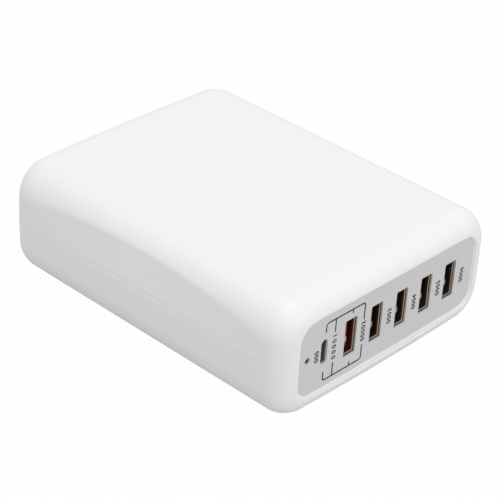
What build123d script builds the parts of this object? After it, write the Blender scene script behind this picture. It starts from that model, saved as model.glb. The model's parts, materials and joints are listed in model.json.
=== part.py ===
from build123d import *

import os
from math import radians, tan

# Six-port USB desktop charger. Millimetres, +Z up, origin on the table under the middle of the housing.
# The ports face -Y, the mains inlet faces +Y.

# Housing: a drafted loaf section run front to back, with crowned ends and rounded end rims
housing_w = 96.0          # across the sides, at the seam
housing_l = 119.0         # front to back, before the crown
crown = 1.0               # how far each end bulges at its middle
housing_h = 39.8
side_r = 12.0             # long edges, above and below
end_r = 8.0               # rim of the front and back faces
draft = 1.5               # degrees, both ways from the seam
wall = 2.2
seam_rise = 0.5           # of the parting line above mid-height, at both ends
seam_arch, arch_half = 1.1, 38.0   # the parting line's rise at mid-length, and where it sets in
seam_gap = 0.15           # shadow line between the two covers
lip_h = 1.6               # tongue of the lower cover inside the upper one
scoop_lean = 8.05         # degrees, the shaved long sides at mid-length
scoop_half = 48.5         # where the shave runs out into the drafted wall, from mid-length
foot_proud = 0.8
foot_d, foot_h = 10.0, 2.0
foot_x, foot_y = 29.0, 44.0

# Port panel, set back in the front opening
panel_w, panel_h, panel_r = 80.1, 26.1, 6.0
panel_rise = 0.45         # of the panel's middle above mid-height
panel_set_back = 1.5      # from the middle of the crowned front
panel_t = 1.2
flange_t, flange_reach = 1.2, 1.3
lip_r = 0.7               # rounding of the opening's outer edge
frame_reach, frame_t = 3.2, 3.9
fit = 0.1                 # clearance of a piece in its seat

# Ports, upright in one row
port_pitch = 11.58
port_first_x = -28.95     # the slim port at the left
port_drop = 0.25          # of the ports' middle below the panel's
usb_a_open = (5.12, 12.5)
usb_c_open = (2.56, 8.34)
shell_t = 0.3
usb_a_cut = (5.2, 12.8)   # in the panel
usb_c_cut = (2.75, 8.5)
collar_t = 0.8            # extra panel thickness round the slim port
lamp_x, lamp_d = -36.15, 2.0
lamp_recess = 1.2         # of the light pipe behind the panel's face

# Boards
board_t = 1.6
board_z = 9.2
main_w = 82.0
main_lead = 2.0           # the main board runs on in front of the port board
main_back_gap = 8.5       # from the back of the housing
port_depth = 15.8         # from the panel's back to the port board
port_board_x = (-38.8, 34.5)
port_board_top = 33.0
post_d, post_dx = 7.0, 74.0
post_front, post_back = 8.0, 6.0   # post rows, from the main board's ends
screw_d, screw_l = 2.1, 5.5
head_d, head_h = 5.0, 1.8
cross_l, cross_w, cross_depth = 2.4, 0.6, 1.0
headroom = 1.1            # least gap between a tall part and the top wall

# Mains inlet, two-pole figure-eight
inlet_w, inlet_h, inlet_d = 21.6, 12.4, 16.0
inlet_mid_h = 19.0
inlet_lobe, inlet_waist, pin_pitch, pin_d = 8.2, 6.2, 8.6, 2.4
inlet_well = 12.0
inlet_recess = 0.3        # of the inlet's face behind the middle of the back

base_z = foot_proud
top_z = base_z + housing_h
mid_z = base_z + housing_h / 2
seam_z = mid_z + seam_rise
front = housing_l / 2 + crown          # the middle of the front lies at y = -front
panel_z = mid_z + panel_rise
panel_front = front - panel_set_back   # the panel's face lies at y = -panel_front
panel_back = panel_front - panel_t
port_z = panel_z - port_drop
board_top = board_z + board_t
inlet_z = base_z + inlet_mid_h
lean = tan(radians(draft))
port_x = [port_first_x + port_pitch * i for i in range(6)]
port_board_y = port_depth - panel_back         # front face of the board that carries the receptacles
main_front = port_board_y - main_lead
main_back = front - main_back_gap
post_dy = main_back - post_back - main_front - post_front
post_mid_y = main_front + post_front + post_dy / 2
ceiling = top_z - wall - headroom

os.makedirs("parts", exist_ok=True)


def save(piece, name):
    piece.part.label = name
    export_step(piece.part, f"parts/{name}.step")


def half_loaf(inset, up, z_from):
    """Housing form above (up=1) or below (up=-1) height z_from, moved inwards by inset."""
    z_end = (top_z - inset) if up > 0 else (base_z + inset)

    def half_w(z):
        return housing_w / 2 - inset - lean * up * (z - seam_z)

    with BuildPart() as form:
        with BuildSketch(Plane.XZ) as section:
            Polygon((-half_w(z_from), z_from), (half_w(z_from), z_from),
                    (half_w(z_end), z_end), (-half_w(z_end), z_end), align=None)
            ends = section.vertices().sort_by(Axis.Y)
            fillet(ends[2:] if up > 0 else ends[:2], radius=side_r - inset)
        extrude(amount=front, both=True)
        # the crown: both ends bulge as one shallow parabola
        reach = housing_w / 2 + 5
        mid = front - inset
        side = mid - crown * (2 * reach / housing_w) ** 2
        with BuildSketch(Plane.XY):
            with BuildLine():
                near = Bezier((-reach, -side), (0, side - 2 * mid), (reach, -side))
                far = Bezier((reach, side), (0, 2 * mid - side), (-reach, side))
                Line(near @ 1, far @ 0)
                Line(far @ 1, near @ 0)
            make_face()
        extrude(amount=top_z + 5, mode=Mode.INTERSECT)
        # every edge of an end face except the one that lies in the parting plane
        rim = []
        for end in (form.faces().sort_by(Axis.Y)[0], form.faces().sort_by(Axis.Y)[-1]):
            rim += [e for e in end.edges() if abs(e.center().Z - z_from) > 0.01]
        fillet(rim, radius=end_r - inset)
    return form.part


def side_of_seam(up, gap):
    """Everything above (up=1) or below (up=-1) the arched parting line, kept off it by gap."""
    z = seam_z + up * gap
    far = z + up * housing_h
    with BuildPart() as space:
        with BuildSketch(Plane.YZ):
            with BuildLine():
                Polyline((-arch_half, z), (-housing_l, z), (-housing_l, far), (housing_l, far), (housing_l, z),
                         (arch_half, z))
                ThreePointArc((arch_half, z), (0, z + seam_arch), (-arch_half, z))
            make_face()
        extrude(amount=housing_w, both=True)
    return space.part


def wall_ring(outer_inset, inner_inset, height):
    """A strip of the wall that stands on the seam's end height, between two insets."""
    with BuildPart() as ring:
        add(half_loaf(outer_inset, 1, seam_z))
        add(half_loaf(inner_inset, 1, seam_z - 1), mode=Mode.SUBTRACT)
        with BuildSketch(Plane.XY.offset(seam_z)):
            Rectangle(2 * housing_w, 2 * housing_l)
        extrude(amount=height, mode=Mode.INTERSECT)
    return ring.part


# Opening for the port panel: a mouth, a seat for the panel and a groove for its flange
with BuildPart() as panel_opening:
    with BuildSketch(Plane.XZ.offset(front + 1)):
        with Locations((0, panel_z)):
            RectangleRounded(panel_w + 2 * fit, panel_h + 2 * fit, panel_r)
    extrude(amount=-(1 + panel_set_back + panel_t + flange_t + 5))
    with BuildSketch(Plane.XZ.offset(panel_back + fit)):
        with Locations((0, panel_z)):
            RectangleRounded(panel_w + 2 * (flange_reach + fit), panel_h + 2 * (flange_reach + fit),
                             panel_r + flange_reach)
    extrude(amount=-(flange_t + 2 * fit))

# Frame behind the front wall, left standing when the covers are hollowed
with BuildPart() as panel_frame:
    with BuildSketch(Plane.XZ.offset(front)):
        with Locations((0, panel_z)):
            RectangleRounded(panel_w + 2 * frame_reach, panel_h + 2 * frame_reach, panel_r + 2)
    extrude(amount=-(panel_set_back + panel_t + frame_t))



def lip_edges(cover):
    """Outer edges of the panel's opening, apart from those at the parting line."""
    side, high = panel_w / 2 + 2 * fit, panel_h / 2 + 2 * fit
    middles = [(edge, edge.center()) for edge in cover.edges()]
    return [edge for edge, c in middles
            if c.Y < -panel_front and abs(c.X) < side and abs(c.Z - panel_z) < high
            and abs(c.Z - seam_z) > 2 * seam_gap]


# Opening for the mains inlet, through the back wall
with BuildPart() as inlet_opening:
    with BuildSketch(Plane.XZ.offset(-(front + 1))):
        with Locations((0, inlet_z)):
            RectangleRounded(inlet_w + 2 * fit, inlet_h + 2 * fit, 2)
    extrude(amount=wall + 4)

# Long sides: a ruled cut, hinged at the seam's end height, that leans most at mid-length
with BuildPart() as side_scoop:
    reach = housing_l
    for z in (seam_z - 4, top_z + 4):
        rise = z - seam_z
        deep = rise * tan(radians(scoop_lean))
        shallow = rise * lean
        runout = (deep - shallow) * (reach / scoop_half) ** 2
        with BuildSketch(Plane.XY.offset(z)):
            with BuildLine():
                inner = ThreePointArc((housing_w / 2 - deep + runout, -reach), (housing_w / 2 - deep, 0),
                                      (housing_w / 2 - deep + runout, reach))
                Polyline(inner @ 1, (housing_w, reach), (housing_w, -reach), inner @ 0)
            make_face()
    loft(ruled=True)
    mirror(about=Plane.YZ)

# Upper cover
with BuildPart() as upper_room:
    add(half_loaf(wall, 1, seam_z - 1))
    add(panel_frame.part, mode=Mode.SUBTRACT)

with BuildPart() as top_cover:
    add(half_loaf(0, 1, seam_z))
    add(side_of_seam(1, seam_gap), mode=Mode.INTERSECT)
    add(side_scoop.part, mode=Mode.SUBTRACT)
    add(upper_room.part, mode=Mode.SUBTRACT)
    add(wall_ring(wall / 2 - fit, wall + 0.3, seam_arch + lip_h + 2 * seam_gap), mode=Mode.SUBTRACT)
    add(panel_opening.part, mode=Mode.SUBTRACT)
    fillet(lip_edges(top_cover), radius=lip_r)
    add(inlet_opening.part, mode=Mode.SUBTRACT)
save(top_cover, "top_cover")

# Lower cover, with four posts for the board and seats for the feet
with BuildPart() as lower_room:
    add(half_loaf(wall, -1, seam_z + seam_arch + 2))
    add(panel_frame.part, mode=Mode.SUBTRACT)
    with BuildSketch(Plane.XY.offset(base_z)):
        with Locations((0, post_mid_y)):
            with GridLocations(post_dx, post_dy, 2, 2):
                Circle(post_d / 2)
    extrude(amount=board_z - base_z, mode=Mode.SUBTRACT)

with BuildPart() as bottom_cover:
    add(half_loaf(0, -1, seam_z + seam_arch + 1))
    add(side_of_seam(-1, 0), mode=Mode.INTERSECT)
    add(side_scoop.part, mode=Mode.SUBTRACT)
    add(lower_room.part, mode=Mode.SUBTRACT)
    add(wall_ring(wall / 2, wall - 0.15, seam_arch + lip_h + seam_gap))
    add(panel_opening.part, mode=Mode.SUBTRACT)
    fillet(lip_edges(bottom_cover), radius=lip_r)
    add(inlet_opening.part, mode=Mode.SUBTRACT)
    with BuildSketch(Plane.XY.offset(base_z)):
        with GridLocations(2 * foot_x, 2 * foot_y, 2, 2):
            Circle(foot_d / 2 + fit)
    extrude(amount=foot_h - foot_proud, mode=Mode.SUBTRACT)
    with BuildSketch(Plane.XY.offset(board_z)):
        with Locations((0, post_mid_y)):
            with GridLocations(post_dx, post_dy, 2, 2):
                Circle(screw_d / 2 + fit / 2)
    extrude(amount=-5, mode=Mode.SUBTRACT)
save(bottom_cover, "bottom_cover")

with BuildPart() as rubber_feet:
    with BuildSketch():
        with GridLocations(2 * foot_x, 2 * foot_y, 2, 2):
            Circle(foot_d / 2)
    extrude(amount=foot_h)
    chamfer(rubber_feet.edges().group_by(Axis.Z)[0], length=0.4)
save(rubber_feet, "rubber_feet")

# Port panel: a plate with cut-outs, and a flange that the two covers hold in their groove
with BuildPart() as port_panel:
    with BuildSketch(Plane.XZ.offset(panel_back)):
        with Locations((0, panel_z)):
            RectangleRounded(panel_w, panel_h, panel_r)
    extrude(amount=panel_t)
    with BuildSketch(Plane.XZ.offset(panel_back)):
        with Locations((0, panel_z)):
            RectangleRounded(panel_w + 2 * flange_reach, panel_h + 2 * flange_reach, panel_r + flange_reach)
            RectangleRounded(panel_w - 4, panel_h - 8, 3, mode=Mode.SUBTRACT)
    extrude(amount=-flange_t)
    with BuildSketch(Plane.XZ.offset(panel_back)):
        with Locations((port_x[0], port_z)):
            RectangleRounded(usb_c_cut[0] + 2.4, usb_c_cut[1] + 2.4, 2)
    extrude(amount=-collar_t)
    with BuildSketch(Plane.XZ.offset(panel_front)):
        with Locations(*[(x, port_z) for x in port_x[1:]]):
            RectangleRounded(*usb_a_cut, 0.3)
        with Locations((port_x[0], port_z)):
            SlotOverall(usb_c_cut[1], usb_c_cut[0], rotation=90)
        with Locations((lamp_x, port_z)):
            Circle(lamp_d / 2)
    extrude(amount=-(panel_t + flange_t), mode=Mode.SUBTRACT)
save(port_panel, "port_panel")

# USB-A receptacles: a folded steel shell with one sprung finger in each broad wall, a tongue, four contacts
shell_front = panel_back - fit
shell_depth = shell_front + port_board_y
tongue_w, tongue_t, tongue_set_back = 11.1, 1.84, 1.6
tongue_offset = usb_a_open[0] / 2 - 0.65 - tongue_t / 2
block_t = 3.0
finger_w, finger_l, finger_rise = 1.9, 5.0, 0.42
contact_w, contact_t, contact_l = 1.0, 0.22, 8.4

for i, x in enumerate(port_x[1:], start=1):
    with BuildPart() as usb_a_shell:
        with BuildSketch(Plane.XZ.offset(shell_front)):
            with Locations((x, port_z)):
                RectangleRounded(usb_a_open[0] + 2 * shell_t, usb_a_open[1] + 2 * shell_t, 0.6)
                RectangleRounded(*usb_a_open, 0.3, mode=Mode.SUBTRACT)
        extrude(amount=-shell_depth)
        # slits that free the fingers, in both broad walls
        with BuildSketch(Plane.YZ.offset(x)):
            with Locations((1.4 + finger_l / 2 - shell_front, port_z)):
                Rectangle(finger_l + 0.8, finger_w + 0.8)
                with Locations((0.4, 0)):
                    Rectangle(finger_l + 0.8, finger_w, mode=Mode.SUBTRACT)
        extrude(amount=usb_a_open[0], both=True, mode=Mode.SUBTRACT)
        # each finger is pressed inwards near its free end
        with BuildSketch(Plane.XY.offset(port_z - finger_w / 2)):
            for side in (-1, 1):
                skin = x + side * usb_a_open[0] / 2
                start = 1.4 - shell_front
                with BuildLine():
                    Polyline((skin, start + 0.3), (skin - side * finger_rise, start + 1.2),
                             (skin - side * finger_rise, start + 1.8), (skin, start + finger_l),
                             close=True)
                make_face()
        extrude(amount=finger_w)
    save(usb_a_shell, f"usb_a_shell_{i}")

    with BuildPart() as usb_a_tongue:
        with BuildSketch(Plane.XZ.offset(-port_board_y)):
            with Locations((x, port_z)):
                Rectangle(usb_a_open[0] - 2 * fit, usb_a_open[1] - 2 * fit)
        extrude(amount=block_t)
        with BuildSketch(Plane.XZ.offset(block_t - port_board_y)):
            with Locations((x + tongue_offset, port_z)):
                Rectangle(tongue_t, tongue_w)
        extrude(amount=shell_depth - block_t - tongue_set_back)
        tip = usb_a_tongue.faces().sort_by(Axis.Y)[0]
        chamfer(tip.edges(), length=0.35)
    save(usb_a_tongue, f"usb_a_tongue_{i}")

    with BuildPart() as usb_a_contacts:
        face_x = x + tongue_offset - tongue_t / 2
        tip_y = -shell_front + tongue_set_back + 0.9
        for dz in (-3.5, -1.0, 1.0, 3.5):
            with BuildSketch(Plane.XY.offset(port_z + dz - contact_w / 2)):
                with BuildLine():
                    Polyline((face_x, tip_y), (face_x - contact_t, tip_y + 0.4),
                             (face_x - contact_t, tip_y + contact_l), (face_x, tip_y + contact_l), close=True)
                make_face()
            extrude(amount=contact_w)
    save(usb_a_contacts, f"usb_a_contacts_{i}")

# USB-C receptacle, seated behind its collar; the moulded block carries it back to the board
c_front = panel_back - collar_t - fit
c_shell_l, c_tongue_t, c_tongue_w, c_set_back = 10.9, 0.7, 6.69, 0.8
c_block_y = 8.4           # tongue root, behind the mouth

with BuildPart() as usb_c_shell:
    with BuildSketch(Plane.XZ.offset(c_front)):
        with Locations((port_x[0], port_z)):
            SlotOverall(usb_c_open[1] + 2 * shell_t, usb_c_open[0] + 2 * shell_t, rotation=90)
            SlotOverall(*usb_c_open[::-1], rotation=90, mode=Mode.SUBTRACT)
    extrude(amount=-c_shell_l)
save(usb_c_shell, "usb_c_shell")

with BuildPart() as usb_c_tongue:
    with BuildSketch(Plane.XZ.offset(-port_board_y)):
        with Locations((port_x[0], port_z)):
            Rectangle(usb_c_open[0] + 2 * shell_t, usb_c_open[1] + 2 * shell_t)
    extrude(amount=c_front - c_shell_l + port_board_y)
    with BuildSketch(Plane.XZ.offset(c_front - c_shell_l)):
        with Locations((port_x[0], port_z)):
            SlotOverall(usb_c_open[1] - fit, usb_c_open[0] - fit, rotation=90)
    extrude(amount=c_shell_l - c_block_y)
    with BuildSketch(Plane.XZ.offset(c_front - c_block_y)):
        with Locations((port_x[0], port_z)):
            Rectangle(c_tongue_t, c_tongue_w)
    extrude(amount=c_block_y - c_set_back)
save(usb_c_tongue, "usb_c_tongue")

with BuildPart() as usb_c_contacts:
    with BuildSketch(Plane.XZ.offset(c_front - c_block_y)):
        for side in (-1, 1):
            with Locations((port_x[0] + side * (c_tongue_t / 2 + 0.05), port_z)):
                with GridLocations(1, 0.5, 1, 12):
                    Rectangle(0.1, 0.26)
    extrude(amount=c_block_y - c_set_back - 0.8)
save(usb_c_contacts, "usb_c_contacts")

# Lamp: a clear rod from the hole in the panel to the diode on the port board
diode_t = 1.2
with BuildPart() as light_pipe:
    with BuildSketch(Plane.XZ.offset(diode_t - port_board_y)):
        with Locations((lamp_x, port_z)):
            Circle(lamp_d / 2 - fit / 2)
    extrude(amount=panel_front - lamp_recess + port_board_y - diode_t)
    chamfer(light_pipe.edges().sort_by(Axis.Y)[0], length=0.3)
save(light_pipe, "light_pipe")

with BuildPart() as status_led:
    with BuildSketch(Plane.XZ.offset(-port_board_y)):
        with Locations((lamp_x, port_z)):
            Rectangle(1.6, 3.2)
    extrude(amount=diode_t)
save(status_led, "status_led")

# Boards
with BuildPart() as port_board:
    with BuildSketch(Plane.XZ.offset(-port_board_y)):
        with Locations((sum(port_board_x) / 2, (board_top + port_board_top) / 2)):
            RectangleRounded(port_board_x[1] - port_board_x[0], port_board_top - board_top, 1)
    extrude(amount=-board_t)
save(port_board, "port_board")

with BuildPart() as main_board:
    with BuildSketch(Plane.XY.offset(board_z)):
        with Locations((0, (main_front + main_back) / 2)):
            RectangleRounded(main_w, main_back - main_front, 4)
        with Locations((0, post_mid_y)):
            with GridLocations(post_dx, post_dy, 2, 2):
                Circle(1.5, mode=Mode.SUBTRACT)
    extrude(amount=board_t)
save(main_board, "main_board")

with BuildPart() as board_screws:
    with BuildSketch(Plane.XY.offset(board_top)):
        with Locations((0, post_mid_y)):
            with GridLocations(post_dx, post_dy, 2, 2):
                Circle(head_d / 2)
    extrude(amount=head_h)
    chamfer(board_screws.edges().group_by(Axis.Z)[-1], length=head_h / 3)
    with BuildSketch(Plane.XY.offset(board_top)):
        with Locations((0, post_mid_y)):
            with GridLocations(post_dx, post_dy, 2, 2):
                Circle(screw_d / 2)
    extrude(amount=-screw_l)
    with BuildSketch(Plane.XY.offset(board_top + head_h)):
        with Locations((0, post_mid_y)):
            with GridLocations(post_dx, post_dy, 2, 2):
                Rectangle(cross_l, cross_w)
                Rectangle(cross_w, cross_l)
    extrude(amount=-cross_depth, mode=Mode.SUBTRACT)
save(board_screws, "board_screws")

# Mains inlet: a moulded block with a figure-eight well, a flange behind the wall and a foot on the board
with BuildPart() as inlet_body:
    face_y = front - inlet_recess
    with BuildSketch(Plane.XZ.offset(-face_y)):
        with Locations((0, inlet_z)):
            RectangleRounded(inlet_w, inlet_h, 2)
    extrude(amount=inlet_d)
    with BuildSketch(Plane.XZ.offset(-(front - wall - 0.3))):
        with Locations((0, inlet_z)):
            RectangleRounded(inlet_w + 3.4, inlet_h + 3.2, 2)
    extrude(amount=1.4)
    foot_top = inlet_z - inlet_h / 2
    with BuildSketch(Plane.XY.offset(board_top)):
        with Locations((0, face_y - inlet_d + 3)):
            Rectangle(inlet_w - 4, 6)
    extrude(amount=foot_top - board_top + 1)
    with BuildSketch(Plane.XZ.offset(-face_y)):
        with Locations((0, inlet_z)):
            with GridLocations(pin_pitch, 1, 2, 1):
                Circle(inlet_lobe / 2)
            Rectangle(pin_pitch, inlet_waist)
    extrude(amount=inlet_well, mode=Mode.SUBTRACT)
    with BuildSketch(Plane.XZ.offset(-face_y)):
        with Locations((0, inlet_z)):
            with GridLocations(pin_pitch, 1, 2, 1):
                Circle(pin_d / 2)
    extrude(amount=inlet_d, mode=Mode.SUBTRACT)
save(inlet_body, "inlet_body")

with BuildPart() as inlet_pins:
    with BuildSketch(Plane.XZ.offset(-(face_y - inlet_d))):
        with Locations((0, inlet_z)):
            with GridLocations(pin_pitch, 1, 2, 1):
                Circle(pin_d / 2)
    extrude(amount=-(inlet_d - 2))
    chamfer(inlet_pins.edges().group_by(Axis.Y)[-1], length=0.6)
save(inlet_pins, "inlet_pins")


# Power parts on the main board. Sizes are across, front to back and up; discs and cans by diameter
fuse_size, film_size, bridge_size = (8.4, 4.2, 7.8), (17.5, 8.5, 15.0), (20.0, 3.6, 14.0)
varistor_d, varistor_t, safety_d, safety_t = 10.0, 4.2, 8.5, 4.0
bulk_d, output_d, output_h, output_pitch = 18.0, 10.0, 20.0, 11.2
opto_size, controller_size, inductor_size = (4.6, 6.5, 3.4), (4.9, 3.9, 1.5), (7.0, 7.0, 4.2)
choke_r, choke_bore, choke_h, wire = 9.6, 5.2, 7.6, 0.9
sink_plate, sink_fin, fin_t = 2.0, 6.0, 1.2
switch_w, switch_h, rectifier_w, rectifier_h = 26.0, 22.0, 24.0, 20.0
tab_size, package_h, leg_h = (10.0, 1.3, 15.0), 9.2, 4.2
package_t, tab_hole, lead_pitch = 3.1, 3.6, 2.54
core_w, core_t, leg, outer_leg, yoke = 32.0, 12.0, 10.0, 4.0, 4.0
bobbin_d, barrel, flange, bobbin_feet = 26.0, 1.2, 1.4, 2.5

# Columns across the board
left_x, right_x = -29.0, 26.8
switch_x, rectifier_x, bridge_x, film_x, fuse_x, varistor_x = -2.0, -1.0, 2.0, 21.6, -19.0, -26.5
output_x = (-25.4, 23.1)


def rows(start, stop, depths):
    """Middles of parts laid out in line from start to stop, with equal gaps."""
    gap = (stop - start - sum(depths)) / (len(depths) + 1)
    middles, y = [], start
    for depth in depths:
        middles.append(y + gap + depth / 2)
        y += gap + depth
    return middles


sink_row = tab_size[1] + package_t + sink_plate + sink_fin
inlet_back = front - inlet_recess - inlet_d
inductor_y, controller_y, rectifier_row, core_y, switch_row, bridge_y = rows(
    port_board_y + board_t, inlet_back,
    [inductor_size[1], controller_size[1], sink_row, bobbin_d, sink_row, bridge_size[1]])
column_front = controller_y + controller_size[1] / 2
column_back = inlet_back + fuse_size[1]
output_y, *bulk_y, varistor_y, fuse_y = rows(
    column_front, column_back, [output_d, bulk_d, bulk_d, varistor_t, fuse_size[1]])
_, opto_y, safety_y, choke_y, film_y = rows(
    column_front, column_back,
    [output_d, opto_size[1], safety_t, 2 * (choke_r + wire), film_size[1]])
plate_from_mid = package_t + tab_size[1] - sink_row / 2    # sink plate's front, from the middle of its row


def can_capacitors(places, d, h):
    """Electrolytic cans: a crimped sleeve with a stepped rim."""
    with BuildPart() as cans:
        for x, y in places:
            with BuildSketch(Plane(origin=(x, y, board_top), x_dir=(1, 0, 0), z_dir=(0, -1, 0))):
                with BuildLine():
                    Polyline((0, 0), (d / 2 - 0.5, 0), (d / 2, 0.8), (d / 2, 1.8), (d / 2 - 0.6, 2.4),
                             (d / 2, 3.0), (d / 2, h - 0.8), (d / 2 - 0.8, h), (d / 2 - 1.4, h - 0.3),
                             (0, h - 0.3), close=True)
                make_face()
            revolve(axis=Axis((x, y, 0), (0, 0, 1)))
    return cans


def standing_block(x, y, size, r):
    """A moulded box part that stands on the board, with rounded upright edges."""
    with BuildPart() as block:
        with BuildSketch(Plane.XY.offset(board_top)):
            with Locations((x, y)):
                RectangleRounded(size[0], size[1], r)
        extrude(amount=size[2])
        chamfer(block.faces().sort_by(Axis.Z)[-1].edges(), length=0.4)
    return block


def standing_disc(x, y, d, t):
    """A dipped disc that stands on edge on the board, its legs merged into a flat."""
    with BuildPart() as disc:
        with BuildSketch(Plane.XZ.offset(-y)):
            with Locations((x, board_top + d / 2 + 1)):
                Circle(d / 2)
            with Locations((x, board_top + d / 4)):
                Rectangle(d * 0.7, d / 2)
        extrude(amount=t / 2, both=True)
        chamfer(disc.faces().sort_by(Axis.Y)[0].edges() + disc.faces().sort_by(Axis.Y)[-1].edges(), length=0.6)
    return disc


def finned_sink(x, y, w, h, fins):
    """Extruded heat sink: a plate with its front at y and fins behind it, standing on the board."""
    with BuildPart() as sink:
        with BuildSketch(Plane.XY.offset(board_top)):
            with Locations((x, y + sink_plate / 2)):
                Rectangle(w, sink_plate)
            with Locations((x, y + sink_plate + (sink_fin - 1) / 2)):
                with GridLocations((w - fin_t) / (fins - 1), 1, fins, 1):
                    Rectangle(fin_t, sink_fin + 1)
        extrude(amount=h)
    return sink


def tab_transistor(x, y):
    """Flat three-leg package with a metal tab against the sink's plate at y."""
    tab_w, tab_t, tab_h = tab_size
    with BuildPart() as device:
        with BuildSketch(Plane.XZ.offset(-y)):
            with Locations((x, board_top + leg_h + tab_h / 2)):
                Rectangle(tab_w, tab_h)
        extrude(amount=tab_t)
        with BuildSketch(Plane.XZ.offset(tab_t - y)):
            with Locations((x, board_top + leg_h + package_h / 2)):
                Rectangle(tab_w, package_h)
        extrude(amount=package_t)
        chamfer(device.faces().sort_by(Axis.Y)[0].edges(), length=0.5)
        with BuildSketch(Plane.XY.offset(board_top)):
            with Locations((x, y - tab_t - package_t / 2)):
                with GridLocations(lead_pitch, 1, 3, 1):
                    Rectangle(0.8, 0.5)
        extrude(amount=leg_h)
        with BuildSketch(Plane.XZ.offset(-y)):
            with Locations((x, board_top + leg_h + (package_h + tab_h) / 2)):
                Circle(tab_hole / 2)
        extrude(amount=tab_t, mode=Mode.SUBTRACT)
    return device


save(standing_block(fuse_x, fuse_y, fuse_size, 1.0), "fuse")
save(standing_disc(varistor_x, varistor_y, varistor_d, varistor_t), "varistor")
save(standing_block(film_x, film_y, film_size, 0.5), "film_capacitor")
save(standing_block(bridge_x, bridge_y, bridge_size, 0.6), "bridge_rectifier")
save(can_capacitors([(left_x, y) for y in bulk_y], bulk_d, ceiling - board_top), "bulk_capacitors")

with BuildPart() as choke_core:
    with BuildSketch(Plane.XY.offset(board_top + wire + 0.05)):
        with Locations((right_x, choke_y)):
            Circle(choke_r)
            Circle(choke_bore, mode=Mode.SUBTRACT)
    extrude(amount=choke_h)
save(choke_core, "choke_core")

with BuildPart() as choke_windings:
    for turn in (25, 205):
        with BuildSketch(Plane(origin=(right_x, choke_y, board_top), x_dir=Vector(1, 0, 0).rotate(Axis.Z, turn),
                               z_dir=Vector(0, -1, 0).rotate(Axis.Z, turn))):
            with Locations(((choke_r + choke_bore) / 2, choke_h / 2 + wire + 0.05)):
                Rectangle(choke_r - choke_bore + 2 * wire, choke_h + 2 * wire)
                Rectangle(choke_r - choke_bore + 0.1, choke_h + 0.1, mode=Mode.SUBTRACT)
        revolve(axis=Axis((right_x, choke_y, 0), (0, 0, 1)), revolution_arc=130)
save(choke_windings, "choke_windings")

switch_y = switch_row + plate_from_mid
rectifier_y = rectifier_row + plate_from_mid
save(finned_sink(switch_x, switch_y, switch_w, switch_h, 6), "switch_heat_sink")
save(tab_transistor(switch_x, switch_y), "switch_transistor")
save(finned_sink(rectifier_x, rectifier_y, rectifier_w, rectifier_h, 6), "output_heat_sink")
save(tab_transistor(rectifier_x, rectifier_y), "output_rectifier")

# Transformer: closed E core, bobbin on its middle leg, taped winding between the flanges
core_z = board_top + bobbin_feet
core_h = ceiling - core_z
window_h = core_h - 2 * yoke
with BuildPart() as transformer_core:
    with BuildSketch(Plane.XZ.offset(-core_y)):
        with Locations((0, core_z + core_h / 2)):
            Rectangle(core_w, core_h)
            with GridLocations(core_w / 2 - outer_leg + leg / 2, 1, 2, 1):
                Rectangle(core_w / 2 - outer_leg - leg / 2, window_h, mode=Mode.SUBTRACT)
    extrude(amount=core_t / 2, both=True)
save(transformer_core, "transformer_core")

bobbin_w = core_w - 2 * outer_leg - 0.4
bobbin_z = core_z + yoke + 0.05
with BuildPart() as transformer_bobbin:
    with BuildSketch(Plane.XY.offset(bobbin_z)):
        with Locations((0, core_y)):
            Rectangle(leg + 0.2 + 2 * barrel, core_t + 0.2 + 2 * barrel)
    extrude(amount=window_h - 0.1)
    for z in (bobbin_z, bobbin_z + window_h - 0.1 - flange):
        with BuildSketch(Plane.XY.offset(z)):
            with Locations((0, core_y)):
                RectangleRounded(bobbin_w, bobbin_d, 1)
        extrude(amount=flange)
    with BuildSketch(Plane.XY.offset(bobbin_z)):
        with Locations((0, core_y)):
            Rectangle(leg + 0.2, core_t + 0.2)
    extrude(amount=window_h, mode=Mode.SUBTRACT)
    with BuildSketch(Plane.XY.offset(board_top)):
        with Locations((0, core_y)):
            with GridLocations(1, bobbin_d - 6, 1, 2):
                Rectangle(bobbin_w, 6)
    extrude(amount=bobbin_z - board_top)
save(transformer_bobbin, "transformer_bobbin")

with BuildPart() as transformer_winding:
    with BuildSketch(Plane.XY.offset(bobbin_z + flange + 0.05)):
        with Locations((0, core_y)):
            RectangleRounded(bobbin_w - 1, bobbin_d - 1.4, 4)
            Rectangle(leg + 0.3 + 2 * barrel, core_t + 0.3 + 2 * barrel, mode=Mode.SUBTRACT)
    extrude(amount=window_h - 0.2 - 2 * flange)
save(transformer_winding, "transformer_winding")

# Low-voltage side, in front of the transformer
save(standing_disc(right_x - 2.8, safety_y, safety_d, safety_t), "safety_capacitor")
save(standing_block(right_x - 2.8, opto_y, opto_size, 0.5), "optocoupler")
output_places = [(x + side * output_pitch / 2, output_y) for x in output_x for side in (-1, 1)]
save(can_capacitors(output_places, output_d, output_h), "output_capacitors")

with BuildPart() as buck_inductors:
    with BuildSketch(Plane.XY.offset(board_top)):
        with Locations(*[(x, inductor_y) for x in port_x]):
            Rectangle(*inductor_size[:2])
    extrude(amount=inductor_size[2])
    chamfer(buck_inductors.faces().group_by(Axis.Z)[-1].edges(), length=0.5)
save(buck_inductors, "buck_inductors")

with BuildPart() as port_controllers:
    with BuildSketch(Plane.XY.offset(board_top)):
        with Locations(*[(x, controller_y) for x in port_x]):
            Rectangle(*controller_size[:2])
    extrude(amount=controller_size[2])
    chamfer(port_controllers.faces().group_by(Axis.Z)[-1].edges(), length=0.25)
save(port_controllers, "port_controllers")
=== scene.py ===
import json
import math

import bmesh
import bpy
import numpy as np
from mathutils import Matrix, Vector


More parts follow.
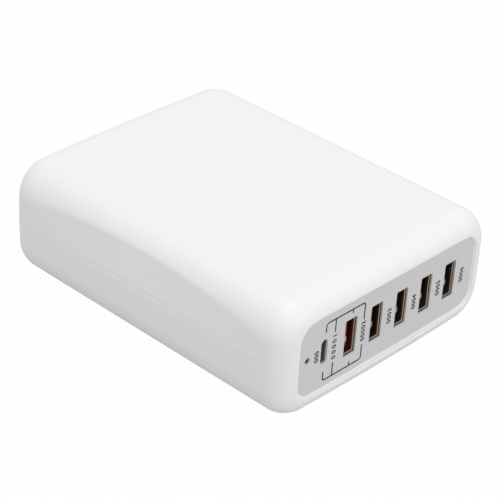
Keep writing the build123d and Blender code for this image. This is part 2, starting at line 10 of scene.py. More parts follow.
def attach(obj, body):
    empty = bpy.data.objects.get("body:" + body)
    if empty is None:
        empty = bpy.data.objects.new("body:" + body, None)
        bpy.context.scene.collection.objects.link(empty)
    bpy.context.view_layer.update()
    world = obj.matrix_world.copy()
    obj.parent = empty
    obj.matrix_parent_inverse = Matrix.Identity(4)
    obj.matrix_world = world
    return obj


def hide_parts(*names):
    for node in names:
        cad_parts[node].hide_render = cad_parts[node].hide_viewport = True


# Six-port USB desktop charger on a pale studio floor. Blender works in metres; sizes here are in
# millimetres and go through MM where a mesh is made. Ports face -Y, the table is z = 0.

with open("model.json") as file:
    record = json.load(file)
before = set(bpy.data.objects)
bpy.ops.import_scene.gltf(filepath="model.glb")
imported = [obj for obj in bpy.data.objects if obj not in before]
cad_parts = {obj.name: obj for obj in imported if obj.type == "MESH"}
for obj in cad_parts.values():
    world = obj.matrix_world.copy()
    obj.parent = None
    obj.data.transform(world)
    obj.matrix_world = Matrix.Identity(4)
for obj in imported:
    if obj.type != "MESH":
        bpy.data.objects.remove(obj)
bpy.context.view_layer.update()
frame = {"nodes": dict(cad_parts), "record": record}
nodes = frame["nodes"]
scene = bpy.context.scene
MM = 0.001

# Housing, as in the part; the visible seam is finer than the part's gap
housing_w, housing_l, crown = 96.0, 119.0, 1.0
base_z, top_z, seam_z = 0.8, 40.6, 21.2
seam_arch, arch_half = 1.1, 38.0
seam_gap, seam_roll = 0.04, 0.09
side_r, end_r, wall = 12.0, 8.0, 2.2
draft = math.radians(1.5)
scoop_lean, scoop_half, scoop_soft = math.radians(8.05), 48.5, 0.3
scoop_soft_rise, scoop_soft_l = 3.0, 5.0
front = housing_l / 2 + crown
crown_r = (housing_w ** 2 / 4 + crown ** 2) / (2 * crown)

# Panel opening: its lip is rounded, and spreads at the right and below to a soft foot
panel_w, panel_h, panel_r, panel_bow = 80.3, 26.3, 6.0, 0.4
panel_mid_z, panel_y = 21.15, -59.0
lip_r, lip_spread, seat_depth, frame_t = 0.9, 0.45, 5.0, 2.0

# Port panel, with a pocket behind each cut-out
panel_t, panel_fit, pocket = 1.2, 0.015, 0.6
cut_round, cut_deep, lamp_deep = 0.15, 0.57, 0.7
usb_a_cut, usb_a_cut_r = (5.2, 12.8), 0.3
usb_c_cut, usb_c_cut_r = (2.75, 8.5), 1.3475
lamp_x, lamp_d = -36.15, 2.0
port_pitch, port_first_x, port_z = 11.58, -28.95, 20.9
port_x = [port_first_x + port_pitch * i for i in range(6)]

# Print on the panel: a bracket round the first two ports, and plain numbers
ink_t, line_w, bracket_r = 0.02, 0.5, 1.0
bracket_x, bracket_z = (-28.75, -11.75), (10.5, 30.6)
bracket_left_ends, bracket_right_ends = (13.7, 27.5), (15.6, 24.6)
branch_x, branch_ends = -24.65, (15.2, 26.0)
tick_x, tick_l = -17.1, 1.4
digit_h, digit_w, digit_bold = 1.85, 1.295, 0.03
lamp_label_x, port_label_dx = -32.3, 6.0
left_label_z, right_label_z = 20.6, 20.4
lamp_label_l, usb_c_label_l, orange_label_l, port_label_l = 4.0, 8.2, 7.1, 5.3

# Receptacle shells: the rolled mouth is narrower than the sleeve behind it
usb_a_open, usb_a_nose, usb_a_nose_l, usb_a_t = (5.12, 12.5), (4.95, 12.55), 1.0, 0.3
usb_a_y, usb_a_back_y = -58.2, -42.0
usb_c_open, usb_c_nose, usb_c_nose_l, usb_c_t = (2.56, 8.34), (2.7, 8.45), 1.25, 0.2
usb_c_y, usb_c_back_y = -58.65, -46.0
sleeve_r, nose_r, bore_r, roll_share = 0.6, 0.35, 0.3, 0.65
finger_offset, finger_size, finger_round = (-1.7, 0.02, -0.5), (1.4, 0.3, 2.0), 0.1

# Rubber feet
foot_x, foot_y, foot_d, foot_r = 29.0, 44.0, 10.0, 0.5

# Mains inlet opening in the back
inlet_w, inlet_h, inlet_r, inlet_mid_z = 21.8, 12.6, 2.0, 19.8


def srgb(text):
    """Linear RGBA of an sRGB hex colour."""
    channels = [int(text[i:i + 2], 16) / 255 for i in (1, 3, 5)]
    return tuple(c / 12.92 if c <= 0.04045 else ((c + 0.055) / 1.055) ** 2.4 for c in channels) + (1.0,)


def add(tree, kind, inputs={}, **settings):
    """Adds a node; inputs holds socket values or the outputs to link to them."""
    made = tree.nodes.new(kind)
    for name, value in settings.items():
        setattr(made, name, value)
    for name, value in inputs.items():
        if isinstance(value, bpy.types.NodeSocket):
            tree.links.new(value, made.inputs[name])
        else:
            made.inputs[name].default_value = value
    return made


def textured(name, low, high, grain_mm, rough, bump_mm=0.0, **sockets):
    """A surface whose colour and roughness wander a little, grain_mm wide, with a shallow bump."""
    material = bpy.data.materials.new(name)
    material.use_nodes = True
    tree = material.node_tree
    tree.nodes.clear()
    shader = add(tree, "ShaderNodeBsdfPrincipled")
    add(tree, "ShaderNodeOutputMaterial", {"Surface": shader.outputs["BSDF"]})
    place = add(tree, "ShaderNodeTexCoord").outputs["Object"]
    grain = add(tree, "ShaderNodeTexNoise",
                {"Vector": place, "Scale": 1 / (grain_mm * MM), "Detail": 3.0, "Roughness": 0.55})
    tone = add(tree, "ShaderNodeMix", {"Factor": grain.outputs["Fac"], "A": srgb(low), "B": srgb(high)},
               data_type="RGBA")
    gloss = add(tree, "ShaderNodeMapRange",
                {"Value": grain.outputs["Fac"], "From Min": 0.3, "From Max": 0.7,
                 "To Min": rough[0], "To Max": rough[1]})
    tree.links.new(tone.outputs["Result"], shader.inputs["Base Color"])
    tree.links.new(gloss.outputs["Result"], shader.inputs["Roughness"])
    if bump_mm:
        bump = add(tree, "ShaderNodeBump",
                   {"Height": grain.outputs["Fac"], "Distance": bump_mm * MM, "Strength": 1.0})
        tree.links.new(bump.outputs["Normal"], shader.inputs["Normal"])
    for socket, value in sockets.items():
        shader.inputs[socket.replace("_", " ")].default_value = value
    return material


# The grain of moulded, plated and dipped surfaces is finer than a pixel, so each is drawn a few tenths of a
# millimetre wide or more, to show.

# Moulded housing plastic: a satin white whose faint grain keeps the sheen soft
white_abs = textured("moulded_white_abs", "#F1F1F1", "#F4F4F4", 0.5, (0.40, 0.48), 0.004)
# Moulded panel plastic: a flatter grey, so that the print and the ports stand out
grey_abs = textured("moulded_grey_abs", "#D0D0D0", "#D6D6D6", 0.35, (0.52, 0.60), 0.004)
# Screen print: near-black and dull
print_ink = textured("screen_print_ink", "#0C0C0D", "#151516", 0.3, (0.6, 0.7))
# Plated USB-A shells: a warm metal that lights up along the mouth and goes dark inside
nickel_steel = textured("nickel_plated_steel", "#B9A48F", "#CDBAA4", 0.8, (0.30, 0.42), Metallic=1.0)
# Plated USB-C shell: a colder, duller metal that shows the slot's wall in grey
satin_nickel = textured("satin_nickel_steel", "#B4B4B6", "#C6C6C8", 0.6, (0.5, 0.6), Metallic=1.0)
# Moulded tongue of the first USB-A port: a deep orange in the dark mouth
orange_nylon = textured("orange_nylon", "#9E2C12", "#B0381A", 0.4, (0.40, 0.50), 0.003)
# Moulded tongues of the others, and the inlet: a warm black with a soft sheen
black_nylon = textured("black_nylon", "#3A312A", "#4A3F36", 0.4, (0.38, 0.50), 0.003)
# Plated contacts: small yellow glints
gold_plate = textured("gold_plated_brass", "#D9B563", "#E8C987", 0.5, (0.20, 0.30), Metallic=1.0)
# Plated inlet pins: bright and slightly warm
nickel_brass = textured("nickel_plated_brass", "#C9C3B4", "#D8D2C4", 0.6, (0.18, 0.28), Metallic=1.0)
# Polished light pipe: clear acrylic painted near-black, which is painted shade, so that the hole looks dark
# while the lamp is off
acrylic_painted_shade = textured("acrylic_painted_shade", "#0F1011", "#131415", 0.5, (0.04, 0.08), Transmission_Weight=0.2,
                          IOR=1.49, Specular_IOR_Level=0.15)
# Moulded feet: dull and grainy beside the satin housing
foot_rubber = textured("moulded_rubber", "#4A4A4C", "#58585A", 0.4, (0.75, 0.88), 0.01)
# Plated board screws: a plain bluish grey
zinc_steel = textured("zinc_plated_steel", "#B4B6B8", "#C6C8CA", 0.5, (0.28, 0.40), Metallic=1.0)
# Coated circuit boards: green, with a slight wave in the shine
solder_mask = textured("green_solder_mask", "#1C5A33", "#23683C", 1.5, (0.30, 0.42), 0.004)
# Cast lamp: milky and half clear
led_epoxy = textured("clear_led_epoxy", "#E2E6DA", "#EEF1E8", 0.5, (0.12, 0.2), Transmission_Weight=0.4)
# Moulded packages: a dull black with a fine tooth
black_epoxy = textured("moulded_black_epoxy", "#17171A", "#222225", 0.3, (0.45, 0.6), 0.004)
# Dipped discs: a shiny blue that is a little uneven, as it ran
blue_epoxy = textured("dipped_blue_epoxy", "#1D4C9A", "#2A5CAE", 1.2, (0.18, 0.3), 0.02)
# Moulded capacitor case: a soft yellow
yellow_pbt = textured("yellow_pbt", "#D8B02A", "#E2BD3C", 0.5, (0.4, 0.5), 0.004)
# Shrunk capacitor sleeves: a tight blue-black skin with a clear shine
black_sleeve = textured("shrunk_pvc_sleeve", "#15171F", "#20232D", 0.8, (0.25, 0.38), 0.004)
# Sintered cores: a dark grey that is rough like stone
ferrite = textured("sintered_ferrite", "#2C2A2A", "#3A3838", 0.25, (0.6, 0.75), 0.01)
# Enamelled wire: reddish metal with a gloss
copper = textured("enamelled_copper", "#A85428", "#C06A36", 0.5, (0.2, 0.32), Metallic=1.0)
# Wound tape: a smooth, even yellow
yellow_tape = textured("polyester_tape", "#DDBB3E", "#E8CA58", 0.8, (0.3, 0.4))
# Extruded heat sinks: a pale, soft metal
aluminium = textured("extruded_aluminium", "#C2C4C7", "#D2D4D6", 0.4, (0.3, 0.42), Metallic=1.0)

slot_finish = {
    "white_housing": white_abs, "grey_panel": grey_abs, "receptacle_steel": nickel_steel,
    "orange_plastic": orange_nylon, "black_plastic": black_nylon, "gold_contacts": gold_plate,
    "pin_brass": nickel_brass, "clear_acrylic": acrylic_painted_shade, "foot_rubber": foot_rubber,
    "screw_steel": zinc_steel, "board": solder_mask, "lamp": led_epoxy, "component_black": black_epoxy,
    "dipped_blue": blue_epoxy, "film_yellow": yellow_pbt, "can_sleeve": black_sleeve, "ferrite": ferrite,
    "copper_wire": copper, "winding_tape": yellow_tape, "sink_aluminium": aluminium}
for part in frame["record"]["subparts"]:
    mesh = nodes[part["node"]].data
    mesh.materials.clear()
    mesh.materials.append(slot_finish[part["material_slot"]])


def finished(name, mesh, material, replaced=()):
    """Adds a mesh as a piece of the charger, in place at the origin."""
    obj = bpy.data.objects.new(name, mesh)
    scene.collection.objects.link(obj)
    mesh.materials.clear()
    mesh.materials.append(material)
    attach(obj, "root")
    if replaced:
        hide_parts(*replaced)


def mesh_of(bm, sharp_deg=35.0):
    """A mesh from bm, smooth except at edges sharper than sharp_deg."""
    bmesh.ops.recalc_face_normals(bm, faces=bm.faces)
    for face in bm.faces:
        face.smooth = True
    for edge in bm.edges:
        edge.smooth = edge.calc_face_angle(0.0) < math.radians(sharp_deg)
    mesh = bpy.data.meshes.new("mesh")
    bm.to_mesh(mesh)
    bm.free()
    return mesh


def upright(bm, loop, y):
    """Vertices of a loop (x, z) that stands at y."""
    return [bm.verts.new(Vector((x, y, z)) * MM) for x, z in loop]


def bridge(bm, a, b):
    """Faces between two closed loops."""
    for j in range(len(a)):
        bm.faces.new((a[j - 1], a[j], b[j], b[j - 1]))


def plain_mesh(holder):
    """The holder's evaluated shape as a mesh of its own."""
    bpy.context.view_layer.update()
    return bpy.data.meshes.new_from_object(holder.evaluated_get(bpy.context.evaluated_depsgraph_get()))


# Covers

def section(up, z_edge):
    """Half section across Y, from the right seam to the left: points and normals (x, z)."""
    zc = top_z - side_r if up > 0 else base_z + side_r
    slope = math.tan(draft)
    xc = housing_w / 2 - slope * up * (zc - seam_z) - side_r / math.cos(draft)
    z_tangent = zc + up * side_r * math.sin(draft)
    side = np.linspace(z_edge, z_tangent, 9)[:-1]
    bend = np.linspace(draft, math.pi / 2, 42)
    flat = np.linspace(xc, 0, 9)[1:]
    x = np.r_[housing_w / 2 - slope * up * (side - seam_z), xc + side_r * np.cos(bend), flat]
    z = np.r_[side, zc + up * side_r * np.sin(bend), np.full(len(flat), zc + up * side_r)]
    tilt = np.r_[np.full(len(side), draft), bend, np.full(len(flat), math.pi / 2)]
    nx, nz = np.cos(tilt), up * np.sin(tilt)
    mirrored = slice(-2, None, -1)
    points = np.c_[np.r_[x, -x[mirrored]], np.r_[z, z[mirrored]]]
    normals = np.c_[np.r_[nx, -nx[mirrored]], np.r_[nz, nz[mirrored]]]
    return points, normals


def opening(p):
    """Distance of points (x, z) from the panel opening's edge, and the way outwards."""
    d = p - [0, panel_mid_z]
    high = panel_h / 2 - panel_bow * (2 * d[:, 0] / panel_w) ** 2
    q = np.abs(d) - np.c_[np.full(len(d), panel_w / 2 - panel_r), high - panel_r]
    corner = np.maximum(q, 0)
    length = np.linalg.norm(corner, axis=1, keepdims=True)
    axis = (q == q.max(axis=1, keepdims=True)).astype(float)
    way = np.where(length > 1e-9, corner / np.maximum(length, 1e-9), axis)
    return length[:, 0] + np.minimum(q.max(axis=1), 0) - panel_r, way * np.where(d < 0, -1, 1)


def rim_arc(core, normal, end, turn, radius=end_r):
    """Points of the rolling rim at one end (-1 front, 1 back): turn is 0 at the wall, 1 at the cap."""
    reach = front - crown_r + np.sqrt((crown_r - end_r) ** 2 - core[:, 0] ** 2)
    cap = np.c_[core[:, 0], end * np.sqrt((crown_r - end_r) ** 2 - core[:, 0] ** 2),
                np.zeros(len(core))] / (crown_r - end_r)
    wall_way = np.c_[normal[:, 0], np.zeros(len(core)), normal[:, 1]]
    between = np.arccos(np.clip((cap * wall_way).sum(1), -1, 1))[:, None]
    turn = np.broadcast_to(np.asarray(turn, float).reshape(-1, 1), (len(core), 1))
    way = (np.sin((1 - turn) * between) * wall_way + np.sin(turn * between) * cap) / np.sin(between)
    return np.c_[core[:, 0], end * reach, core[:, 1]] + radius * way


def lip_rows(core, normal):
    """Rows of the front: from the panel's seat up the foot, over the lip and round the rim."""
    low, high = np.zeros(len(core)), np.ones(len(core))
    for _ in range(40):
        middle = (low + high) / 2
        gap, way = opening(rim_arc(core, normal, -1, middle)[:, [0, 2]])
        out = gap > lip_spread * np.maximum(way[:, 0] - way[:, 1], 0)
        low, high = np.where(out, middle, low), np.where(out, high, middle)
    edge = rim_arc(core, normal, -1, low)
    gap, way = opening(edge[:, [0, 2]])
    corner = np.c_[edge[:, 0], np.full(len(core), panel_y), edge[:, 2]]
    foot = corner - np.insert(way * gap[:, None], 1, 0, axis=1)
    inner = edge + [0, 1, 0] * np.minimum(lip_r, 0.6 * (panel_y - edge[:, 1:2]))
    start = low - lip_r / end_r / (math.pi / 2)
    outer = rim_arc(core, normal, -1, start)
    rows = [foot + [0, seat_depth, 0]]
    for a, b, c, first in ((foot, corner, inner, 0), (inner, edge, outer, 1)):
        rows += [(1 - t) ** 2 * a + 2 * t * (1 - t) * b + t ** 2 * c for t in np.linspace(0, 1, 8)[first:]]
    rows += [rim_arc(core, normal, -1, start * (1 - t)) for t in np.linspace(0, 1, 16)[1:]]
    return rows


def inlet_mouth(share, up, z_edge):
    """Points (x, z) on half the inlet opening's edge, from the right seam to the left, by share."""
    far = inlet_mid_z + up * inlet_h / 2
    turn = np.linspace(0, math.pi / 2, 7)
    x = inlet_w / 2 - inlet_r + inlet_r * np.cos(turn)
    z = far - up * inlet_r + up * inlet_r * np.sin(turn)
    path = np.r_[[(inlet_w / 2, z_edge)], np.c_[x, z], np.c_[-x, z][::-1], [(-inlet_w / 2, z_edge)]]
    along = np.r_[0, np.cumsum(np.linalg.norm(np.diff(path, axis=0), axis=1))]
    return np.stack([np.interp(share, along / along[-1], path[:, i]) for i in (0, 1)], axis=1)


def cap_rows(rim, core, up, z_edge):
    """Rows over the crowned back, from the rim to the inlet's opening."""
    share = np.r_[0, np.cumsum(np.linalg.norm(np.diff(core, axis=0), axis=1))]
    start, mouth = rim[:, [0, 2]], inlet_mouth(share / share[-1], up, z_edge)
    rows = []
    for t in np.linspace(0, 1, 12)[1:]:
        p = start + (mouth - start) * t
        rows.append(np.c_[p[:, 0], front - crown_r + np.sqrt(crown_r ** 2 - p[:, 0] ** 2), p[:, 1]])
    return rows


def scooped(p):
    """Moves points of the long sides in to the leaning shave, with a soft crease where it meets the wall."""
    rise = np.maximum(p[..., 2] - seam_z, 0)
    deep, shallow = rise * math.tan(scoop_lean), rise * math.tan(draft)
    limit = housing_w / 2 - deep + (deep - shallow) * (p[..., 1] / scoop_half) ** 2
    x = np.abs(p[..., 0])
    soft = scoop_soft * np.clip((rise - scoop_soft_rise) / scoop_soft_l, 0, 1) + 1e-6
    share = np.clip(0.5 + 0.5 * (limit - x) / soft, 0, 1)
    blend = limit + (x - limit) * share - soft * share * (1 - share)
    moved = p.copy()
    moved[..., 0] = np.sign(p[..., 0]) * np.where(x > housing_w / 4, blend, x)
    return moved


def rolled(skin, up):
    """Adds columns at both sides that turn the seam's edge inwards."""
    sides = []
    for column, way in ((skin[:, 0], 1), (skin[:, -1], -1)):
        along = np.gradient(column, axis=0)
        out = way * np.c_[along[:, 1], -along[:, 0], np.zeros(len(along))]
        out /= np.linalg.norm(out, axis=1, keepdims=True)
        sides.append([column + seam_roll * ((math.cos(a) - 1) * out - [0, 0, up * math.sin(a)])
                      for a in np.radians((90, 60, 30))])
    return np.concatenate([np.stack(sides[0], 1), skin, np.stack(sides[1][::-1], 1)], axis=1)


def cover_grids(up):
    """Outer skin and lining of one cover: rows run from the panel's seat to the inlet's mouth."""
    edge = seam_z + up * (seam_gap / 2 + seam_roll)
    points, normals = section(up, edge)
    core = points - end_r * normals
    inside = points - wall * normals
    skin = lip_rows(core, normals)
    first, last = rim_arc(core, normals, -1, 0), rim_arc(core, normals, 1, 0)
    seat = skin[0] + np.insert(opening(skin[0][:, [0, 2]])[1], 1, 0, axis=1) * frame_t
    behind = np.c_[inside[:, 0], first[:, 1], inside[:, 1]]
    lining = [seat + (behind - seat) * t for t in np.linspace(0, 1, len(skin))]
    for t in np.linspace(0, 1, 56)[1:-1]:
        y = first[:, 1] + (last[:, 1] - first[:, 1]) * t
        arch = seam_arch * max(0, 1 - (y[0] / arch_half) ** 2)
        row, _ = section(up, edge + arch)
        skin.append(np.c_[row[:, 0], y, row[:, 1]])
        row = row - wall * normals
        lining.append(np.c_[row[:, 0], y, row[:, 1]])
    for t in np.linspace(0, 1, 13):
        skin.append(rim_arc(core, normals, 1, t))
        lining.append(rim_arc(core, normals, 1, t, end_r - wall))
    cap = cap_rows(skin[-1], core, up, edge)
    skin += cap
    lining += [row - [0, wall, 0] for row in cap]
    skin = rolled(scooped(np.array(skin)), up)
    lining = np.array(lining)
    lining[:, 0, 2], lining[:, -1, 2] = skin[:, 0, 2], skin[:, -1, 2]
    return skin, lining


def cover_mesh(up):
    """One cover as a closed shell: skin, lining, the two seam lands and both ends."""
    bm = bmesh.new()
    skin, lining = [[[bm.verts.new(Vector(p) * MM) for p in row] for row in grid]
                    for grid in cover_grids(up)]
    for grid in (skin, lining):
        for a, b in zip(grid, grid[1:]):
            for j in range(len(a) - 1):
                bm.faces.new((a[j], a[j + 1], b[j + 1], b[j]))
    for j in (0, -1):
        for k in range(len(skin) - 1):
            bm.faces.new((skin[k][j], skin[k + 1][j], lining[k + 1][j], lining[k][j]))
    for k in (0, -1):
        outer, inner = skin[k], lining[k]
        for j in range(len(inner) - 1):
            bm.faces.new((outer[j + 3], outer[j + 4], inner[j + 1], inner[j]))
        bm.faces.new((*outer[:4], inner[0]))
        bm.faces.new((*outer[-4:], inner[-1]))
    return mesh_of(bm)


finished("top_cover_shell", cover_mesh(1), white_abs, ["top_cover"])
finished("bottom_cover_shell", cover_mesh(-1), white_abs, ["bottom_cover"])


# Port panel

def rounded_loop(x, z, w, h, r, steps=6):
    """Points of a rounded rectangle about (x, z)."""
    loop = []
    for corner, (sx, sz) in enumerate(((1, 1), (-1, 1), (-1, -1), (1, -1))):
        for a in np.linspace(0, math.pi / 2, steps) + corner * math.pi / 2:
            loop.append((x + sx * (w / 2 - r) + r * math.cos(a), z + sz * (h / 2 - r) + r * math.sin(a)))
    return loop


def panel_loop():
    """The panel's outline, just inside the opening."""
    corners = np.array(rounded_loop(0, panel_mid_z, panel_w, panel_h, panel_r, 16))
    loop = np.concatenate([np.linspace(a, b, int(np.linalg.norm(b - a)) + 1, endpoint=False)
                           for a, b in zip(corners, np.roll(corners, -1, axis=0))])
    for _ in range(6):
        gap, way = opening(loop)
        loop -= (gap + panel_fit)[:, None] * way
    return loop


def cut_loop(index, grow):
    """Outline of one cut-out, made larger by grow: the ports from left to right, then the lamp hole."""
    if index == 6:
        r = lamp_d / 2 + grow
        turns = np.linspace(0, 2 * math.pi, 32, endpoint=False)
        return [(lamp_x + r * math.cos(a), port_z + r * math.sin(a)) for a in turns]
    w, h = usb_a_cut if index else usb_c_cut
    r = usb_a_cut_r if index else usb_c_cut_r
    return rounded_loop(port_x[index], port_z, w + 2 * grow, h + 2 * grow, r + grow, 7)


def panel_mesh():
    """The panel as a plate, its cut-outs rounded in front and wider behind."""
    bm = bmesh.new()
    back_y = panel_y + panel_t
    outline = panel_loop()
    borders = [(upright(bm, outline, panel_y), upright(bm, outline, back_y))]
    bridge(bm, *borders[0])
    for index in range(7):
        loops = [upright(bm, cut_loop(index, cut_round * (1 - math.sin(a))),
                         panel_y + cut_round * (1 - math.cos(a))) for a in np.linspace(0, math.pi / 2, 5)]
        deep = lamp_deep if index == 6 else cut_deep
        loops += [upright(bm, cut_loop(index, grow), panel_y + deep) for grow in (0, pocket)]
        loops.append(upright(bm, cut_loop(index, pocket), back_y))
        for a, b in zip(loops, loops[1:]):
            bridge(bm, a, b)
        borders.append((loops[0], loops[-1]))
    for side in zip(*borders):
        edges = [bm.edges.get(pair) for loop in side for pair in zip(loop, loop[1:] + loop[:1])]
        bmesh.ops.triangle_fill(bm, use_beauty=True, edges=edges)
    return mesh_of(bm)


finished("port_panel_plate", panel_mesh(), grey_abs, ["port_panel"])


# Print on the panel

def ribbon(bm, path):
    """Adds a thin printed line along path (x, z)."""
    path = np.array(path)
    along = np.gradient(path, axis=0)
    along /= np.linalg.norm(along, axis=1, keepdims=True)
    side = np.c_[-along[:, 1], along[:, 0]] * line_w / 2
    corners = [[bm.verts.new(Vector((x, y, z)) * MM) for (x, z), y in
                ((p + s, panel_y - ink_t), (p - s, panel_y - ink_t), (p - s, panel_y), (p + s, panel_y))]
               for p, s in zip(path, side)]
    for a, b in zip(corners, corners[1:]):
        bridge(bm, a, b)
    bm.faces.new(corners[0])
    bm.faces.new(corners[-1])


def digits(text, spacing):
    """Digits along +X as a mesh of any thickness, with its points."""
    curve = bpy.data.curves.new("digits", "FONT")
    curve.body = text
    curve.extrude = 0.1
    curve.offset = digit_bold
    curve.space_character = spacing
    holder = bpy.data.objects.new("digits", curve)
    scene.collection.objects.link(holder)
    mesh = plain_mesh(holder)
    bpy.data.objects.remove(holder)
    return mesh, np.array([v.co for v in mesh.vertices])


def number(bm, text, x, z, length):
    """Adds printed digits that read upwards about (x, z), spread over length."""
    mesh, p = digits(text, 1.0)
    scale = digit_h / np.ptp(p[:, 1])
    mesh, p = digits(text, (length - digit_w) / (np.ptp(p[:, 0]) * scale - digit_w))
    p = (p - (p.min(0) + p.max(0)) / 2) * scale
    depth = np.where(p[:, 2] > 0, panel_y - ink_t, panel_y)
    mesh.vertices.foreach_set("co", (np.c_[x - p[:, 1], depth, z + p[:, 0]] * MM).ravel())
    bm.from_mesh(mesh)


def print_mesh():
    """Bracket lines and numbers as thin raised ink."""
    bm = bmesh.new()
    left, right = bracket_x
    bend = [(bracket_r * math.cos(a), bracket_r * math.sin(a)) for a in np.linspace(0, math.pi / 2, 6)]
    for i, way in enumerate((-1, 1)):
        z = bracket_z[i]
        left_bend = [(left + bracket_r - c, z - way * (bracket_r - s)) for c, s in bend]
        right_bend = [(right - bracket_r + c, z - way * (bracket_r - s)) for c, s in bend[::-1]]
        ribbon(bm, [(left, bracket_left_ends[i]), *left_bend, *right_bend, (right, bracket_right_ends[i])])
        ribbon(bm, [(branch_x, z - way * line_w / 2), (branch_x, branch_ends[i])])
        ribbon(bm, [(tick_x, z - way * line_w / 2), (tick_x, z - way * tick_l)])
    number(bm, "000", lamp_label_x, left_label_z, lamp_label_l)
    number(bm, "00001", branch_x, left_label_z, usb_c_label_l)
    number(bm, "00002", right, right_label_z, orange_label_l)
    for i in range(2, 6):
        number(bm, f"000{i + 1}", port_x[i] + port_label_dx, right_label_z, port_label_l)
    bmesh.ops.remove_doubles(bm, verts=bm.verts, dist=0.001 * MM)
    return mesh_of(bm, 20.0)


finished("panel_print", print_mesh(), print_ink)


# Receptacle shells and feet: one of each, copied along a line

def lip_tube(x, nose, nose_y, nose_l, inside, back_y, sheet):
    """A receptacle's shell: nose is the rolled mouth's outside, inside the clear size behind it."""
    bm = bmesh.new()
    half = sheet * roll_share
    inside_y = nose_y + nose_l
    outside = [v + 2 * sheet for v in inside]
    rings = [(back_y, outside, sleeve_r), (inside_y, outside, sleeve_r), (nose_y + half, nose, nose_r)]
    for a in np.linspace(0, math.pi, 7)[1:]:
        shrink = half * (1 - math.cos(a))
        rings.append((nose_y + half * (1 - math.sin(a)), [v - 2 * shrink for v in nose], bore_r))
    rings += [(inside_y, inside, bore_r), (back_y, inside, bore_r)]
    loops = [upright(bm, rounded_loop(x, port_z, *size, r), y) for y, size, r in rings]
    for a, b in zip(loops, loops[1:] + loops[:1]):
        bridge(bm, a, b)
    return bm


def repeated(name, mesh, count, step, material):
    """Copies a mesh along a line and returns the copies as one plain mesh."""
    tree = bpy.data.node_groups.new(name, "GeometryNodeTree")
    tree.interface.new_socket("Geometry", in_out="OUTPUT", socket_type="NodeSocketGeometry")
    tree.interface.new_socket("Geometry", in_out="INPUT", socket_type="NodeSocketGeometry")
    count_in = tree.interface.new_socket("Count", in_out="INPUT", socket_type="NodeSocketInt")
    step_in = tree.interface.new_socket("Step", in_out="INPUT", socket_type="NodeSocketVector")
    given = add(tree, "NodeGroupInput").outputs
    line = add(tree, "GeometryNodeMeshLine", {"Count": given["Count"], "Offset": given["Step"]})
    copies = add(tree, "GeometryNodeInstanceOnPoints",
                 {"Points": line.outputs["Mesh"], "Instance": given["Geometry"]})
    solid = add(tree, "GeometryNodeRealizeInstances", {"Geometry": copies.outputs["Instances"]})
    painted = add(tree, "GeometryNodeSetMaterial",
                  {"Geometry": solid.outputs["Geometry"], "Material": material})
    add(tree, "NodeGroupOutput", {"Geometry": painted.outputs["Geometry"]})
    holder = bpy.data.objects.new(name, mesh)
    scene.collection.objects.link(holder)
    modifier = holder.modifiers.new(name, "NODES")
    modifier.node_group = tree
    modifier[count_in.identifier] = count
    modifier[step_in.identifier] = step
    plain = plain_mesh(holder)
    holder.modifiers.remove(modifier)
    bpy.data.objects.remove(holder)
    return plain


def usb_a_mesh():
    """The first USB-A shell, with the sprung tab that shows at its mouth."""
    bm = lip_tube(port_x[1], usb_a_nose, usb_a_y, usb_a_nose_l, usb_a_open, usb_a_back_y, usb_a_t)
    tab = bmesh.ops.create_cube(bm, size=1.0)["verts"]
    middle = Vector((port_x[1], usb_a_y, port_z)) + Vector(finger_offset)
    for v in tab:
        v.co = (middle + v.co * Vector(finger_size)) * MM
    edges = list({e for v in tab for e in v.link_edges})
    bmesh.ops.bevel(bm, geom=edges, offset=finger_round * MM, segments=2, affect="EDGES")
    return mesh_of(bm)


def foot_mesh():
    """Two feet in a row, with rounded rims."""
    bm = bmesh.new()
    rim = np.linspace(0, math.pi / 2, 6)
    profile = [(foot_d / 2, base_z)]
    profile += [(foot_d / 2 - foot_r * (1 - math.cos(a)), foot_r * (1 - math.sin(a))) for a in rim]
    turns = np.linspace(0, 2 * math.pi, 48, endpoint=False)
    for y in (-foot_y, foot_y):
        loops = [[bm.verts.new(Vector((r * math.cos(t) - foot_x, y + r * math.sin(t), z)) * MM)
                  for t in turns] for r, z in profile]
        for a, b in zip(loops, loops[1:]):
            bridge(bm, a, b)
        bm.faces.new(loops[0])
        bm.faces.new(loops[-1])
    return mesh_of(bm)


shells = repeated("usb_a_shells", usb_a_mesh(), 5, (port_pitch * MM, 0, 0), nickel_steel)
finished("usb_a_shells", shells, nickel_steel, [f"usb_a_shell_{i}" for i in range(1, 6)])
usb_c = lip_tube(port_x[0], usb_c_nose, usb_c_y, usb_c_nose_l, usb_c_open, usb_c_back_y, usb_c_t)
finished("usb_c_mouth", mesh_of(usb_c), satin_nickel, ["usb_c_shell"])
feet = repeated("feet", foot_mesh(), 2, (2 * foot_x * MM, 0, 0), foot_rubber)
finished("rubber_feet_discs", feet, foot_rubber, ["rubber_feet"])


# Camera where the photograph was taken from: turned, raised and rolled about the housing's middle
view_turn, view_rise, view_roll = math.radians(-47.9245), math.radians(31.7886), math.radians(-3.5004)
view_distance, view_right, view_down = 586.82, -0.90, -3.87
focal_px, frame_px, sensor = 1846.0, 500, 36.0


def facing(turn, rise):
    """The way outwards that is turned from the front to the right, and raised."""
    return Vector((math.sin(turn) * math.cos(rise), -math.cos(turn) * math.cos(rise), math.sin(rise)))


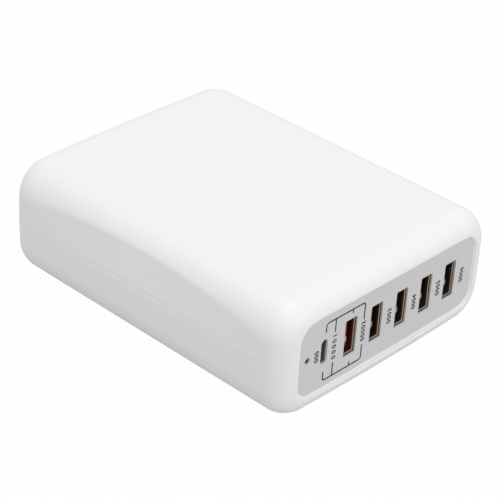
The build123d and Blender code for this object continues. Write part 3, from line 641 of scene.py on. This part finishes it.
back = facing(view_turn, view_rise)
level = Vector((math.cos(view_turn), math.sin(view_turn), 0))
plumb = (-back).cross(level)
right = math.cos(view_roll) * level + math.sin(view_roll) * plumb
down = -math.sin(view_roll) * level + math.cos(view_roll) * plumb
middle = Vector((0, 0, (base_z + top_z) / 2))
place = middle - right * view_right - down * view_down + back * view_distance
camera = bpy.data.objects.new("camera", bpy.data.cameras.new("camera"))
camera.data.sensor_width = sensor
camera.data.lens = focal_px / frame_px * sensor
camera.data.clip_start, camera.data.clip_end = 0.01, 20
turned = Matrix((right, -down, back)).transposed().to_4x4()
camera.matrix_world = Matrix.Translation(place * MM) @ turned
scene.collection.objects.link(camera)
scene.camera = camera


# Studio: white to the camera and in reflections, weaker as a light

def seen_ray(tree, mirrored=1.0):
    """1 for rays from the camera, mirrored for those off a surface or through a clear piece, else 0."""
    rays = add(tree, "ShaderNodeLightPath").outputs
    turned = add(tree, "ShaderNodeMath", {0: rays["Is Glossy Ray"], 1: rays["Is Transmission Ray"]},
                 operation="MAXIMUM")
    weak = add(tree, "ShaderNodeMath", {0: turned.outputs[0], 1: mirrored}, operation="MULTIPLY")
    seen = add(tree, "ShaderNodeMath", {0: weak.outputs[0], 1: rays["Is Camera Ray"]}, operation="MAXIMUM")
    return seen.outputs[0]


# The camera sees the floor white with a trace of shadow; a mirror sees mostly its lit paint
floor_reach, floor_white, floor_mirrored = 3.0, 0.985, 0.2
floor_mesh = bpy.data.meshes.new("floor")
corners = [(x * floor_reach, y * floor_reach, 0) for x, y in ((-1, -1), (1, -1), (1, 1), (-1, 1))]
floor_mesh.from_pydata(corners, [], [(0, 1, 2, 3)])
floor = bpy.data.objects.new("floor", floor_mesh)
scene.collection.objects.link(floor)
floor_paint = bpy.data.materials.new("floor_paint")
floor_paint.use_nodes = True
tree = floor_paint.node_tree
tree.nodes.clear()
matt = add(tree, "ShaderNodeBsdfDiffuse", {"Color": srgb("#D2D2D2")})
glow = add(tree, "ShaderNodeEmission", {"Color": (1, 1, 1, 1), "Strength": 1.0})
faint = add(tree, "ShaderNodeMixShader", {"Fac": floor_white, 1: matt.outputs[0], 2: glow.outputs[0]})
paint = add(tree, "ShaderNodeMixShader",
            {"Fac": seen_ray(tree, floor_mirrored), 1: matt.outputs[0], 2: faint.outputs[0]})
add(tree, "ShaderNodeOutputMaterial", {"Surface": paint.outputs[0]})
floor_mesh.materials.append(floor_paint)

world = bpy.data.worlds.new("studio")
scene.world = world
world.use_nodes = True
tree = world.node_tree
tree.nodes.clear()
world_light = 0.64
strength = add(tree, "ShaderNodeMapRange", {"Value": seen_ray(tree), "To Min": world_light, "To Max": 1.0})
sky = add(tree, "ShaderNodeBackground", {"Color": (1, 1, 1, 1), "Strength": strength.outputs["Result"]})
add(tree, "ShaderNodeOutputWorld", {"Surface": sky.outputs[0]})

softbox_size, softbox_reach = 0.8, 1.3


def softbox(name, turn_deg, rise_deg, watts):
    """A square area lamp that looks at the charger, turned from the front and raised."""
    lamp = bpy.data.lights.new(name, "AREA")
    lamp.size = softbox_size
    lamp.energy = watts
    obj = bpy.data.objects.new(name, lamp)
    spot = softbox_reach * facing(math.radians(turn_deg), math.radians(rise_deg))
    obj.matrix_world = Matrix.Translation(spot) @ spot.to_track_quat("Z", "Y").to_matrix().to_4x4()
    scene.collection.objects.link(obj)


softbox("front_softbox", 0, 25, 3.7)
softbox("back_softbox", 220, 70, 2.4)
softbox("top_softbox", 0, 89.9, 2.75)

scene.view_settings.view_transform = "Standard"
